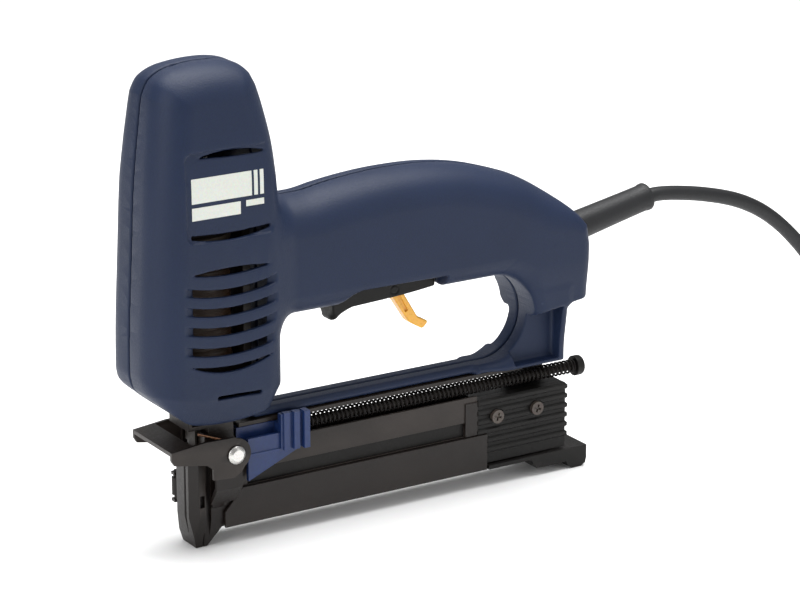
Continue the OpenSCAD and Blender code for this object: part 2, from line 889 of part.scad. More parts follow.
// Lower plate, cut away at 45 degrees to meet the nose
module guide_plate(side) {
    color(PAINTED)
        translate([0, side * (guide_in + plate_t / 2), 0])
            upright(plate_t)
                polygon([[guide_front, magazine_z], [guide_rear, magazine_z], [guide_rear, guide_top],
                    [guide_front + 8, guide_top], [guide_front, guide_top - 9]]);
}

module guide_plate_left() {
    guide_plate(-1);
}

module guide_plate_right() {
    guide_plate(1);
}

// Liners that keep the staples' legs upright on each side of the rail
module staple_guide(side) {
    y = channel_w / 2 + (plate_in - channel_w / 2) / 2;
    color(BLACK)
        translate([0, side * y, 0])
            upright(plate_in - channel_w / 2)
                polygon([[mag_front, 12], [mag_rear - 1, 12], [mag_rear - 1, rail_top + 0.8],
                    [mag_front, rail_top + 0.8]]);
}

module staple_guide_left() {
    staple_guide(-1);
}

module staple_guide_right() {
    staple_guide(1);
}

rail_front = 1.6;
rail_low = magazine_z + 1.6;
rail_end = mag_rear + 30;
foot_front = 134;
foot_rear = 183.6;
foot_w = 20;
foot_top = 9.2;
foot_low_front = 156;

// Blade that the staples straddle, on a wide base that closes the magazine from below
module magazine_rail() {
    base_in = guide_in - gap;
    color(PAINTED) {
        block([rail_front, -rail_t / 2, rail_low], [rail_end, rail_t / 2, rail_top]);
        block([mag_front, -base_in, magazine_z], [foot_front - EPS, base_in, rail_low + EPS]);
    }
}

// Foot and pull at the rear end of the rail
module rail_foot() {
    color(BLACK)
        difference() {
            upright(foot_w)
                polygon([[foot_front, magazine_z], [foot_low_front - 0.6, magazine_z], [foot_low_front + 2, 3.4],
                    [foot_low_front + 14, 3.2], [173, 3.6], [174.4, 1.4], [176, 0], [181, 0], [183, 1.2],
                    [foot_rear, 3.4], [foot_rear, foot_top], [foot_front, foot_top]]);
            block([0, -rail_t / 2, rail_low], [rail_end + EPS, rail_t / 2, BIG]);
        }
}

block_rear = 174;
block_low = 10;
block_high = 38.4;
block_w = 18;
rib_h = 0.8;
rib_pitch = 4.2;
block_screw_places = [[138.2, 30.2], [158.1, 30.2]];
block_screw_d = 3;

// One rib of the block, with its outer corners cut
module rib() {
    w = block_w / 2;
    length = block_rear - mag_rear;
    intersection() {
        across(2 * length)
            polygon([[-w, 0.6], [-w + 0.6, 0], [w - 0.6, 0], [w, 0.6], [w, 2], [w - 0.6, 2.6], [-w + 0.6, 2.6], [-w, 2]]);
        upright(block_w)
            polygon([[0, 0], [length - 0.6, 0], [length, 0.6], [length, 2], [length - 0.6, 2.6], [0, 2.6]]);
    }
}

// Ribbed block that ties the plates together behind the magazine
module rear_block() {
    core_w = block_w - 2 * rib_h;
    color(BLACK)
        difference() {
            union() {
                upright(core_w)
                    polygon([[mag_rear, block_low], [block_rear - 0.6, block_low], [block_rear - 0.6, block_high],
                        [mag_rear, block_high]]);
                // Ribs along each side and round the back
                for (i = [0:5])
                    translate([mag_rear, 0, 14.6 + i * rib_pitch]) rib();
                // Web that carries the block under the column
                block([rail_rear + gap, 5.6, block_high - 1], [block_rear - 3, core_w / 2, housing_foot_z]);
            }
            // Way through for the rail
            block([0, -rail_t / 2 - gap, 0], [BIG, rail_t / 2 + gap, rail_top + gap]);
            // Rear ends of the lower plates
            for (side = [-1, 1])
                translate([0, side * 9.6, 0]) block([0, -3, 0], [guide_rear + gap, 3, guide_top + gap]);
            // Tongues of the upper plates
            for (side = [-1, 1])
                translate([0, side * (plate_in + plate_t / 2), 0])
                    block([0, -plate_t / 2 - fit, tongue_low - fit],
                        [tongue_rear + fit, plate_t / 2 + fit, tongue_high + fit]);
            for (p = block_screw_places)
                translate([p.x, 0, p.y]) {
                    pin_y(block_screw_d + 2 * fit, BIG);
                    for (side = [-1, 1])
                        translate([0, side * block_w / 2, 0]) pin_y(7, 1.2);
                }
            // Trough under the long spring
            translate([0, rod_y, rod_z]) rod_x(spring_d + 4, BIG);
        }
}

// Two screws on each side, short of the rail
module block_screws() {
    head_in = block_w / 2 - 0.6;
    tip = rail_t / 2 + gap + 0.3;
    color([0.55, 0.5, 0.46])
        for (p = block_screw_places, side = [0, 1])
            mirror([0, side, 0])
                translate([p.x, 0, p.y])
                    difference() {
                        union() {
                            translate([0, -(tip + head_in) / 2, 0]) pin_y(block_screw_d, head_in - tip);
                            translate([0, -head_in - 0.9, 0]) pin_y(5.8, 1.8);
                        }
                        for (turn = [20, 110])
                            translate([0, -head_in - 1.8, 0]) rotate([0, turn, 0]) cube([3.4, 1.6, 0.9], center = true);
                    }
}

rail_rear = 152;
top_rail_w = 14;
top_rail_high = housing_foot_z - 0.2;

// Thin steel rail under the bar
module top_rail() {
    color(PAINTED)
        difference() {
            union() {
                block([17, -top_rail_w / 2, top_rail_high - 1.6], [rail_rear, top_rail_w / 2, top_rail_high]);
                // Small feet that stand on the front bracket and hook into the column
                block([17, 1.5, top_rail_high - 1.6], [24, 5.5, housing_foot_z]);
            }
            for (x = [30, 90, 145])
                translate([x, 3, 0]) cylinder(d = 3, h = BIG);
        }
}

pusher_rear = 45.4;
// Length of the follower spring when it is pressed together
spring_packed = 60.6;
rod_rear = pusher_rear + pusher_travel + spring_packed;
cap_len = 4;
cap_d = 8.6;

module guide_rod() {
    color(STEEL) translate([nose_rear - 1, rod_y, rod_z]) rod_x(rod_d, rod_rear - cap_len / 2 - nose_rear + 1);
}

module rod_cap() {
    color(BLACK)
        translate([rod_rear - cap_len / 2, rod_y, rod_z])
            rotate([0, 90, 0])
                rotate_extrude()
                    polygon(concat([[0, 0], [cap_d / 2, 0]],
                        arc([cap_d / 2 - 1.4, cap_len - 1.4], 1.4, 0, 90, 4), [[0, cap_len]]));
}

module follower_spring() {
    length = rod_rear - cap_len / 2 - pusher_rear - 0.2;
    color([0.2, 0.19, 0.19])
        translate([pusher_rear + 0.1, rod_y, rod_z])
            difference() {
                rod_x(spring_d, length);
                translate([-1, 0, 0]) rod_x(spring_d - 2, BIG);
            }
}

grip_y = -15;
pusher_front = 18.6;
pusher_low = 26;
pusher_top = 43.8;
pusher_grip_x = 33;
arm_z = plate_top + play;
arm_top = top_rail_high - 1.6 - play;

// Pusher: a saddle on the rail, an arm over the near plate and a ribbed finger grip
finger_low = 36.6;
finger_top = 52.2;
finger_rib_w = 2.6;
finger_pitch = 4.2;
finger_step = 0.8;
finger_ribs = 3;

module staple_pusher() {
    side_out = -magazine_w / 2 - play - 1.6;
    side_in = -magazine_w / 2 - play;
    color(BLUE)
        difference() {
            union() {
                // Saddle over the rail
                block([16, -plate_in + gap, rail_top + 1.2], [pusher_rear - 2, plate_in - gap, arm_top]);
                block([16, -channel_w / 2 + gap / 2, 12], [pusher_rear - 2, channel_w / 2 - gap / 2, rail_top + 2]);
                // Arm
                block([pusher_grip_x, side_out, arm_z], [pusher_rear, -1, arm_top]);
                // Side plate
                translate([0, (side_out + side_in) / 2, 0])
                    upright(side_in - side_out)
                        polygon([[pusher_front, pusher_low], [pusher_rear, 37.4], [pusher_rear, pusher_top],
                            [pusher_front, pusher_top]]);
                // Step along the middle of the side plate
                translate([0, side_out, 0])
                    block([pusher_front, -0.5, 36.2], [pusher_grip_x, 0, 37.4]);
                // Finger grip with upright ribs
                block([pusher_grip_x, grip_y + 2.4, finger_low + 0.6],
                    [pusher_rear, side_in, finger_top - 0.6]);
                for (i = [0:finger_ribs - 1])
                    translate([pusher_grip_x + finger_pitch * i, 0, 0])
                        block([1, grip_y + (finger_ribs - 1 - i) * finger_step, finger_low],
                            [1 + finger_rib_w, grip_y + 4, finger_top]);
            }
            // Way for the rail
            block([0, -rail_t / 2 - 0.15, 0], [BIG, rail_t / 2 + 0.15, rail_top + 0.6]);
            translate([0, rod_y, rod_z]) rod_x(rod_d + 2 * 0.1, BIG);
            // The top of the grip stands clear of the bar
            block([0, side_in, arm_top], [BIG, 0, BIG]);
        }
}

catch_y = 3;
catch_z = 46.6;

// Short coil spring of the rail catch, under the column
module catch_spring() {
    color([0.5, 0.45, 0.42])
        translate([rail_rear + 5, catch_y, catch_z])
            difference() {
                rod_x(4.6, 20);
                translate([-1, 0, 0]) rod_x(3, BIG);
            }
}

// ---------------------------------------------------------------- cord

module strain_relief() {
    color(RUBBER)
        along_relief()
            translate([0, 0, -relief_hold])
                rotate_extrude()
                    polygon([[cord_d / 2, 0], [relief_d / 2 - 0.05, 0], [relief_d / 2 - 0.05, relief_hold],
                        [relief_d / 2 - 0.9, relief_len - 2], [relief_d / 2 - 2, relief_len],
                        [cord_d / 2, relief_len]]);
}

// Centre line of the cord from inside the strain relief to the hank, in mm
lead_route = [[210, 0, 109.2], [218, 0, 110.8], [224, 0, 111.4], [230, 0, 111], [237, 0, 110], [245, 0, 108.6],
    [253, 0, 106.8], [262, 0, 104.4], [271, 0, 101.2], [281, 0, 96.2], [291, 0, 89.2], [301, 0, 80],
    [310, -0.4, 69.8], [318, -2, 59], [325, -4.6, 47.8], [331, -8, 37], [337, -12, 26.8], [344, -15.8, 17.6],
    [352, -18.2, 10.8], [360, -19.2, 6.4], [368, -19.3, 4.5], [378, -19.3, 4.2]];
// Centre line from the hank's top layer up into the plug
end_route = [[378, -12.7, 17.4], [386, -12.5, 17.5], [393, -11.5, 18], [400, -9.2, 19], [407, -6, 20.4],
    [414, -2, 22.1], [421, 1.8, 23.7], [428, 4.8, 24.9], [434, 6.2, 25.6], [440, 6.5, 25.8], [447, 6.5, 25.8]];
lead_sides = 8;

function unit(v) = v / norm(v);
function tangent(p, i) = unit(p[min(i + 1, len(p) - 1)] - p[max(i - 1, 0)]);
function ring(p, i) = let (t = tangent(p, i), u = unit(cross([0, 0, 1], t)), v = cross(t, u))
    [for (k = [0:lead_sides - 1]) let (a = 360 * k / lead_sides) p[i] + cord_d / 2 * (u * cos(a) + v * sin(a))];

// A tube swept along a route
module tube(p) {
    n = lead_sides;
    m = len(p);
    points = [for (i = [0:m - 1]) each ring(p, i)];
    sides = [for (i = [0:m - 2], k = [0:n - 1])
        [i * n + k, (i + 1) * n + k, (i + 1) * n + (k + 1) % n, i * n + (k + 1) % n]];
    ends = [[for (k = [0:n - 1]) k], [for (k = [n - 1:-1:0]) (m - 1) * n + k]];
    polyhedron(points, concat(sides, ends));
}

module cord_lead() {
    color(RUBBER) tube(lead_route);
}

module cord_end() {
    color(RUBBER) tube(end_route);
}

// The hank: two strands wide and three high, lying on its strap, folded round two half circles
strand = cord_d + 0.2;
hank_at = [378, 6.5, 1];
hank_run = 110;
hank_fold_r = 22.5;
hank_w = cord_d + strand;
hank_h = cord_d + 2 * strand;

// Cross-section of one run, with x = 0 on the middle of the run
module hank_section() {
    cut = 2.4;
    half_w = hank_w / 2;
    polygon([[-half_w + cut, 0], [half_w - cut, 0], [half_w, cut], [half_w, hank_h - cut],
        [half_w - cut, hank_h], [-half_w + cut, hank_h], [-half_w, hank_h - cut], [-half_w, cut]]);
}

module cord_hank() {
    color(RUBBER)
        translate(hank_at) {
            for (side = [-1, 1])
                translate([hank_run / 2, side * hank_fold_r, 0])
                    rotate([90, 0, 90])
                        linear_extrude(hank_run, center = true) hank_section();
            for (end = [[0, 90], [hank_run, -90]])
                translate([end[0], 0, 0])
                    rotate([0, 0, end[1]])
                        rotate_extrude(angle = 180)
                            translate([hank_fold_r, 0]) hank_section();
        }
}

// Strap round one run
strap_t = 1;
strap_w = 12;

module cord_tie() {
    color(BLACK)
        translate([hank_at.x + 0.65 * hank_run, hank_at.y - hank_fold_r, 0])
            rotate([90, 0, 90])
                linear_extrude(strap_w, center = true)
                    difference() {
                        translate([-hank_w / 2 - strap_t, 0]) square([hank_w + 2 * strap_t, hank_h + 2 * strap_t]);
                        translate([-hank_w / 2, strap_t]) square([hank_w, hank_h]);
                    }
}

// The plug lies between the hank's runs, with its pins along +X
plug_d = 35;
plug_len = 40;
plug_at = [438, hank_at.y, 25.8];
contact_d = 4.8;
contact_len = 19;
contact_pitch = 19;

module plug_body() {
    color(RUBBER)
        translate(plug_at)
            rotate([0, 90, 0])
                rotate_extrude()
                    polygon([[cord_d / 2, 0], [4.6, 0], [6, 14], [10.5, 17], [11.5, 27], [plug_d / 2 - 1, 31],
                        [plug_d / 2, 32], [plug_d / 2, plug_len - 1], [plug_d / 2 - 1, plug_len], [0, plug_len],
                        [0, 9.5], [cord_d / 2, 9.5]]);
}

module plug_pins() {
    color(STEEL)
        for (side = [-1, 1])
            translate(plug_at + [plug_len, side * contact_pitch / 2, 0]) rod_x(contact_d, contact_len);
}

housing_left();
housing_right();
housing_screws();
label_plate();
trigger();
trigger_pin();
trigger_spring();
lock_lever();
lock_lever_pin();
switch_body();
switch_button();
circuit_board();
board_parts();
solenoid_frame();
coil_bobbin();
coil_winding();
plunger();
driver_blade();
driver_pin();
return_spring();
plunger_bumper();
top_bumper();
cable_clamp();
clamp_screws();
inner_leads();
nose_body();
nose_gate();
gate_pin();
nose_bracket();
latch_lever();
latch_rivet();
latch_spring();
side_plate_left();
side_plate_right();
guide_plate_left();
guide_plate_right();
staple_guide_left();
staple_guide_right();
top_rail();
rear_block();
block_screws();
magazine_rail();
rail_foot();
guide_rod();
rod_cap();
follower_spring();
staple_pusher();
catch_spring();
strain_relief();
cord_lead();
cord_hank();
cord_end();
cord_tie();
plug_body();
plug_pins();
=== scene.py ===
"""Looks of the electric staple gun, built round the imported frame. Shapes are given in millimetres and
turned to metres when they become a mesh."""

import math

import bmesh
import bpy
import numpy as np
import openvdb
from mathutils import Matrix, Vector
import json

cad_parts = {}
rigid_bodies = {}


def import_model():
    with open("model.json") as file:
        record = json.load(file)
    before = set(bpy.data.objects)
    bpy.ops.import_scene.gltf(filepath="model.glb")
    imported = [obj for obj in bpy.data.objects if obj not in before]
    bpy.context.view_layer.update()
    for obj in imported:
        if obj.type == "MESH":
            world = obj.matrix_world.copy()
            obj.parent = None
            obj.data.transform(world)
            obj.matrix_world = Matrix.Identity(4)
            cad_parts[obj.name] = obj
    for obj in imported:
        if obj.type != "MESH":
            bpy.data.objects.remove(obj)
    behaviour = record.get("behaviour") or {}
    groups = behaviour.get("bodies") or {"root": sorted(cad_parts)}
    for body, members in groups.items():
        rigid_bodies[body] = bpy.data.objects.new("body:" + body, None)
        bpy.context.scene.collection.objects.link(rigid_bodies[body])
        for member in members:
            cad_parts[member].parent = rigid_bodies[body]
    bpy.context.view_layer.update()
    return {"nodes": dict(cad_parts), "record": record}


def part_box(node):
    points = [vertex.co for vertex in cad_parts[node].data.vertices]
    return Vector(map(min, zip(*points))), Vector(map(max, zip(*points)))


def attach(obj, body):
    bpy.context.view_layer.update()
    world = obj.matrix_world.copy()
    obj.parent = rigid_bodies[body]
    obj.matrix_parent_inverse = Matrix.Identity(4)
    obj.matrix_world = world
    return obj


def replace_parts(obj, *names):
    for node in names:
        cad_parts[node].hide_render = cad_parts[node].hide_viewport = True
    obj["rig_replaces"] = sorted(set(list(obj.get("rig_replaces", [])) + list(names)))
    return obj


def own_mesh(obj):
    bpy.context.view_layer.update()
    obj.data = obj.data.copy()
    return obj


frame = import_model()
MM = 0.001

# ------------------------------------------------------------------ camera and light


def aim_camera():
    data = bpy.data.cameras.new("camera")
    data.lens = 137.25
    data.sensor_width = 36
    data.clip_start = 0.05
    camera = bpy.data.objects.new("camera", data)
    camera.location = (-0.52814, -1.00331, 0.45802)
    camera.rotation_euler = (math.radians(72.5), 0, math.radians(-31.9))
    bpy.context.scene.collection.objects.link(camera)
    bpy.context.scene.camera = camera


def area_light(name, place, target, width, height, watts):
    data = bpy.data.lights.new(name, "AREA")
    data.shape = "RECTANGLE"
    data.size, data.size_y = width, height
    data.energy = watts
    light = bpy.data.objects.new(name, data)
    light.location = place
    light.rotation_euler = (Vector(target) - Vector(place)).to_track_quat("-Z", "Y").to_euler()
    bpy.context.scene.collection.objects.link(light)


def light_scene():
    world = bpy.data.worlds.new("studio")
    bpy.context.scene.world = world
    world.use_nodes = True
    background = world.node_tree.nodes["Background"]
    background.inputs["Color"].default_value = (1, 1, 1, 1)
    background.inputs["Strength"].default_value = 0.42
    area_light("overhead", (0.2, 0.1, 1.25), (0.1, 0, 0.1), 1.3, 0.9, 30)
    area_light("left_front", (-1.0, -0.35, 0.55), (0.05, 0, 0.1), 0.5, 0.9, 6)
    area_light("right_front", (0.75, -1.0, 0.5), (0.1, 0, 0.1), 0.6, 0.6, 2)
    view = bpy.context.scene.view_settings
    view.view_transform = "Standard"
    view.look = "None"
    view.exposure = 0


# ------------------------------------------------------------------ meshes

BEVEL_SEGMENTS = 2
BEVEL_FROM = 28


def add_object(name, mesh):
    made = bpy.data.objects.new(name, mesh)
    bpy.context.scene.collection.objects.link(made)
    return made


def mesh_from(name, points_mm, faces):
    mesh = bpy.data.meshes.new(name)
    mesh.from_pydata([(p[0] * MM, p[1] * MM, p[2] * MM) for p in points_mm], [], faces)
    tidy = bmesh.new()
    tidy.from_mesh(mesh)
    bmesh.ops.recalc_face_normals(tidy, faces=tidy.faces)
    tidy.to_mesh(mesh)
    tidy.free()
    return mesh


def apply_modifiers(piece):
    view = bpy.context.evaluated_depsgraph_get()
    mesh = bpy.data.meshes.new_from_object(piece.evaluated_get(view))
    piece.modifiers.clear()
    piece.data = mesh


def shade(piece, sharp_degrees=35, weighted=True):
    piece.data.shade_smooth()
    piece.data.set_sharp_from_angle(angle=math.radians(sharp_degrees))
    if weighted:
        modifier = piece.modifiers.new("weighted", "WEIGHTED_NORMAL")
        modifier.keep_sharp = True
        apply_modifiers(piece)


def bevel_mesh(mesh, width_mm):
    """Breaks every edge that turns by more than BEVEL_FROM degrees."""
    work = bmesh.new()
    work.from_mesh(mesh)
    bmesh.ops.remove_doubles(work, verts=work.verts, dist=2e-6)
    bmesh.ops.dissolve_limit(work, angle_limit=math.radians(0.6), verts=work.verts, edges=work.edges)
    least = math.radians(BEVEL_FROM)
    edges = [e for e in work.edges if len(e.link_faces) == 2 and e.calc_face_angle(0) > least]
    bmesh.ops.bevel(work, geom=edges, offset=width_mm * MM, segments=BEVEL_SEGMENTS, profile=0.5,
                    affect="EDGES", clamp_overlap=True)
    bmesh.ops.recalc_face_normals(work, faces=work.faces)
    work.to_mesh(mesh)
    work.free()


def join(name, pieces):
    """One object from several."""
    work = bmesh.new()
    for piece in pieces:
        work.from_mesh(piece.data)
        bpy.data.objects.remove(piece)
    mesh = bpy.data.meshes.new(name)
    work.to_mesh(mesh)
    work.free()
    return add_object(name, mesh)


def lathe(name, profile, origin, direction, sides=48):
    """A profile of (distance along, radius) turned round direction."""
    along = Vector(direction).normalized()
    side = along.orthogonal().normalized()
    other = along.cross(side)
    origin = Vector(origin)
    points, faces = [], []
    for d, r in profile:
        for k in range(sides):
            a = 2 * math.pi * k / sides
            points.append(origin + along * d + (side * math.cos(a) + other * math.sin(a)) * r)
    for i in range(len(profile) - 1):
        for k in range(sides):
            faces.append([i * sides + k, i * sides + (k + 1) % sides,
                          (i + 1) * sides + (k + 1) % sides, (i + 1) * sides + k])
    if profile[0][1] > 0 and profile[0] != profile[-1]:
        faces.append(list(range(sides))[::-1])
        faces.append([(len(profile) - 1) * sides + k for k in range(sides)])
    made = add_object(name, mesh_from(name, points, faces))
    merge = bmesh.new()
    merge.from_mesh(made.data)
    bmesh.ops.remove_doubles(merge, verts=merge.verts, dist=1e-6)
    merge.to_mesh(made.data)
    merge.free()
    return made


def sweep(name, route, radius, sides=10):
    """A round bar along a route, with flat ends."""
    route = [Vector(p) for p in route]
    points, faces = [], []
    side = None
    for i, p in enumerate(route):
        ahead = (route[min(i + 1, len(route) - 1)] - route[max(i - 1, 0)]).normalized()
        if side is None:
            side = ahead.orthogonal().normalized()
        else:
            side = (side - ahead * side.dot(ahead)).normalized()
        other = ahead.cross(side)
        for k in range(sides):
            a = 2 * math.pi * k / sides
            points.append(p + (side * math.cos(a) + other * math.sin(a)) * radius)
    for i in range(len(route) - 1):
        for k in range(sides):
            faces.append([i * sides + k, i * sides + (k + 1) % sides,
                          (i + 1) * sides + (k + 1) % sides, (i + 1) * sides + k])
    faces.append(list(range(sides))[::-1])
    faces.append([(len(route) - 1) * sides + k for k in range(sides)])
    return add_object(name, mesh_from(name, points, faces))


def helix(low, high, radius, turns):
    """Points of a spring's wire along Z from low to high, with a closed turn at each end."""
    closed_turns, per_turn = 1.0, 18
    count = int((turns + 2 * closed_turns) * per_turn)
    wire = []
    for i in range(count + 1):
        turn = (turns + 2 * closed_turns) * i / count
        open_part = min(max(turn - closed_turns, 0), turns) / turns
        wire.append((radius * math.cos(2 * math.pi * turn), radius * math.sin(2 * math.pi * turn),
                     low + (high - low) * open_part))
    return wire


def smooth_line(points, steps=6):
    """A curve through the points, ends included."""
    p = np.array([points[0]] + list(points) + [points[-1]], float)
    made = []
    for i in range(1, len(p) - 2):
        for s in range(steps):
            t = s / steps
            made.append(tuple(0.5 * (2 * p[i] + (p[i + 1] - p[i - 1]) * t
                                     + (2 * p[i - 1] - 5 * p[i] + 4 * p[i + 1] - p[i + 2]) * t ** 2
                                     + (3 * p[i] - p[i - 1] - 3 * p[i + 1] + p[i + 2]) * t ** 3)))
    made.append(tuple(p[-2]))
    return made


# ------------------------------------------------------------------ solids drawn as distance fields


def outline_distance(a, b, outline):
    """Distance from each point (a, b) to a closed outline, negative inside it."""
    pts = np.array(outline, np.float64)
    best = np.full(np.broadcast(a, b).shape, 1e9)
    inside = np.zeros(best.shape, bool)
    for p, q in zip(pts, np.roll(pts, -1, axis=0)):
        e = q - p
        if e @ e < 1e-12:
            continue
        wa, wb = a - p[0], b - p[1]
        t = np.clip((wa * e[0] + wb * e[1]) / (e @ e), 0, 1)
        best = np.minimum(best, np.hypot(wa - t * e[0], wb - t * e[1]))
        if e[1] != 0:
            inside ^= ((p[1] > b) != (q[1] > b)) & (a < p[0] + wb * e[0] / e[1])
    return np.where(inside, -best, best)


def both(a, b, r):
    """The part inside both a and b, with the edge between them rounded to r."""
    return np.minimum(np.maximum(a, b), -r) + np.hypot(np.maximum(a + r, 0), np.maximum(b + r, 0))


def either(a, b, r):
    """a and b together, with a fillet of r between them."""
    return -both(-a, -b, r)


def ease(value, start, end):
    t = np.clip((value - start) / (end - start), 0, 1)
    return t * t * (3 - 2 * t)


def grid_of(low, high, step):
    axes = [np.arange(low[i], high[i] + step, step) for i in range(3)]
    return np.meshgrid(*axes, indexing="ij", sparse=True)


def mesh_of_field(name, field, low, step, keep=1.0, mirror=False):
    """The surface where the field is zero."""
    grid = openvdb.FloatGrid(3.0)
    grid.copyFromArray(np.ascontiguousarray(np.clip(field, -3, 3), dtype=np.float32))
    points, triangles, quads = grid.convertToPolygons(isovalue=0.0, adaptivity=0.0)
    points = (np.array(points, float) * step + np.array(low)) * MM
    if mirror:
        points[:, 1] *= -1
    faces = [list(map(int, f)) for f in triangles] + [list(map(int, f)) for f in quads]
    mesh = bpy.data.meshes.new(name)
    mesh.from_pydata(points.tolist(), [], faces)
    work = bmesh.new()
    work.from_mesh(mesh)
    bmesh.ops.recalc_face_normals(work, faces=work.faces)
    if work.calc_volume(signed=True) < 0:
        bmesh.ops.reverse_faces(work, faces=work.faces)
    work.to_mesh(mesh)
    work.free()
    made = add_object(name, mesh)
    if keep < 1:
        modifier = made.modifiers.new("fewer", "DECIMATE")
        modifier.ratio = keep
        apply_modifiers(made)
    made.data.shade_smooth()
    return made


# ------------------------------------------------------------------ materials


def surface(name, colour, dark=0.7, rough=(0.4, 0.55), metal=0.0, grain=1500, bump=0.12, cloud=35,
            worn=None, worn_from=0.53, shine=0.5, streak=None, depth=0.0004):
    """A procedural finish: cloudy colour, grain in the bump, uneven roughness and paler worn edges."""
    material = bpy.data.materials.new(name)
    material.use_nodes = True
    nodes, links = material.node_tree.nodes, material.node_tree.links
    shader = nodes["Principled BSDF"]
    place = nodes.new("ShaderNodeTexCoord")
    clouds = nodes.new("ShaderNodeTexNoise")
    clouds.inputs["Scale"].default_value = cloud
    clouds.inputs["Detail"].default_value = 6
    grains = nodes.new("ShaderNodeTexNoise")
    grains.inputs["Scale"].default_value = grain
    grains.inputs["Detail"].default_value = 3
    stretch = nodes.new("ShaderNodeMapping")
    stretch.inputs["Scale"].default_value = streak or (1, 1, 1)
    links.new(place.outputs["Object"], clouds.inputs["Vector"])
    links.new(place.outputs["Object"], stretch.inputs["Vector"])
    links.new(stretch.outputs["Vector"], grains.inputs["Vector"])
    ramp = nodes.new("ShaderNodeValToRGB")
    ramp.color_ramp.elements[0].position = 0.3
    ramp.color_ramp.elements[1].position = 0.7
    ramp.color_ramp.elements[0].color = (*[c * dark for c in colour], 1)
    ramp.color_ramp.elements[1].color = (*colour, 1)
    links.new(clouds.outputs["Fac"], ramp.inputs["Fac"])
    tint = ramp.outputs["Color"]
    speckle = nodes.new("ShaderNodeMix")
    speckle.data_type = "RGBA"
    speckle.blend_type = "OVERLAY"
    speckle.inputs[0].default_value = 0.25
    links.new(tint, speckle.inputs[6])
    links.new(grains.outputs["Color"], speckle.inputs[7])
    tint = speckle.outputs[2]
    if worn:
        shape = nodes.new("ShaderNodeNewGeometry")
        edge = nodes.new("ShaderNodeMapRange")
        edge.inputs["From Min"].default_value = worn_from
        edge.inputs["From Max"].default_value = worn_from + 0.12
        links.new(shape.outputs["Pointiness"], edge.inputs["Value"])
        patchy = nodes.new("ShaderNodeMath")
        patchy.operation = "MULTIPLY"
        links.new(edge.outputs["Result"], patchy.inputs[0])
        links.new(clouds.outputs["Fac"], patchy.inputs[1])
        mix = nodes.new("ShaderNodeMix")
        mix.data_type = "RGBA"
        links.new(patchy.outputs[0], mix.inputs[0])
        links.new(tint, mix.inputs[6])
        mix.inputs[7].default_value = (*worn, 1)
        tint = mix.outputs[2]
    links.new(tint, shader.inputs["Base Color"])
    gloss = nodes.new("ShaderNodeMapRange")
    gloss.inputs["From Min"].default_value = 0.3
    gloss.inputs["From Max"].default_value = 0.7
    gloss.inputs["To Min"].default_value = rough[0]
    gloss.inputs["To Max"].default_value = rough[1]
    links.new(grains.outputs["Fac"], gloss.inputs["Value"])
    links.new(gloss.outputs["Result"], shader.inputs["Roughness"])
    relief = nodes.new("ShaderNodeBump")
    relief.inputs["Strength"].default_value = bump
    relief.inputs["Distance"].default_value = depth
    links.new(grains.outputs["Fac"], relief.inputs["Height"])
    links.new(relief.outputs["Normal"], shader.inputs["Normal"])
    shader.inputs["Metallic"].default_value = metal
    shader.inputs["Specular IOR Level"].default_value = shine
    return material


MATERIALS = {
    "shell": surface("shell", (0.0095, 0.018, 0.047), 0.84, (0.44, 0.58), grain=1700, bump=0.22,
                     cloud=22, worn=(0.026, 0.04, 0.08), worn_from=0.56, shine=0.24),
    "blue_plastic": surface("blue_plastic", (0.009, 0.026, 0.105), 0.85, (0.3, 0.45), grain=900, bump=0.06,
                            worn=(0.03, 0.06, 0.16), worn_from=0.58, shine=0.4),
    "black_plastic": surface("black_plastic", (0.006, 0.0055, 0.005), 0.7, (0.38, 0.55), grain=1300,
                             bump=0.14, worn=(0.02, 0.018, 0.017), shine=0.2),
    "amber_plastic": surface("amber_plastic", (0.80, 0.40, 0.045), 0.88, (0.25, 0.4), grain=700,
                             bump=0.05),
    "painted_steel": surface("painted_steel", (0.0075, 0.0048, 0.0038), 0.75, (0.3, 0.45), grain=1100,
                             bump=0.1, worn=(0.045, 0.036, 0.031), worn_from=0.545, shine=0.28),
    "bright_steel": surface("bright_steel", (0.66, 0.65, 0.63), 0.8, (0.2, 0.38), metal=1, grain=900,
                            bump=0.08, streak=(1, 1, 12)),
    "spring_steel": surface("spring_steel", (0.010, 0.008, 0.0075), 0.6, (0.42, 0.55), grain=1500,
                            bump=0.1, shine=0.16),
    "dark_steel": surface("dark_steel", (0.022, 0.018, 0.015), 0.7, (0.4, 0.55), grain=900, bump=0.08,
                          shine=0.25),
    "screw_steel": surface("screw_steel", (0.075, 0.058, 0.048), 0.6, (0.3, 0.45), metal=0.3, grain=900,
                           bump=0.1, worn=(0.2, 0.17, 0.15), worn_from=0.53),
    "copper_wire": surface("copper_wire", (0.42, 0.22, 0.13), 0.7, (0.25, 0.4), metal=1, grain=1500,
                           bump=0.08),
    "winding": surface("winding", (0.045, 0.022, 0.010), 0.55, (0.35, 0.5), grain=420, bump=0.6,
                       streak=(0.15, 0.15, 3), depth=0.001),
    "bobbin": surface("bobbin", (0.06, 0.045, 0.03), 0.8, (0.45, 0.6), grain=900),
    "board": surface("board", (0.02, 0.11, 0.04), 0.7, (0.3, 0.5), grain=600),
    "components": surface("components", (0.03, 0.03, 0.05), 0.6, (0.25, 0.45), grain=600),
    "label": surface("label", (0.60, 0.62, 0.57), 0.95, (0.35, 0.5), grain=1500, bump=0.04),
    "rubber": surface("rubber", (0.009, 0.0095, 0.011), 0.75, (0.45, 0.6), grain=1400, bump=0.2,
                      worn=(0.02, 0.02, 0.022), shine=0.35),
}


def place_piece(piece, body, slot, *nodes):
    """Gives a piece its finish and body. It stands for the nodes named."""
    piece.data.materials.clear()
    piece.data.materials.append(MATERIALS[slot])
    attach(piece, body)
    if nodes:
        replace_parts(piece, *nodes)
    return piece


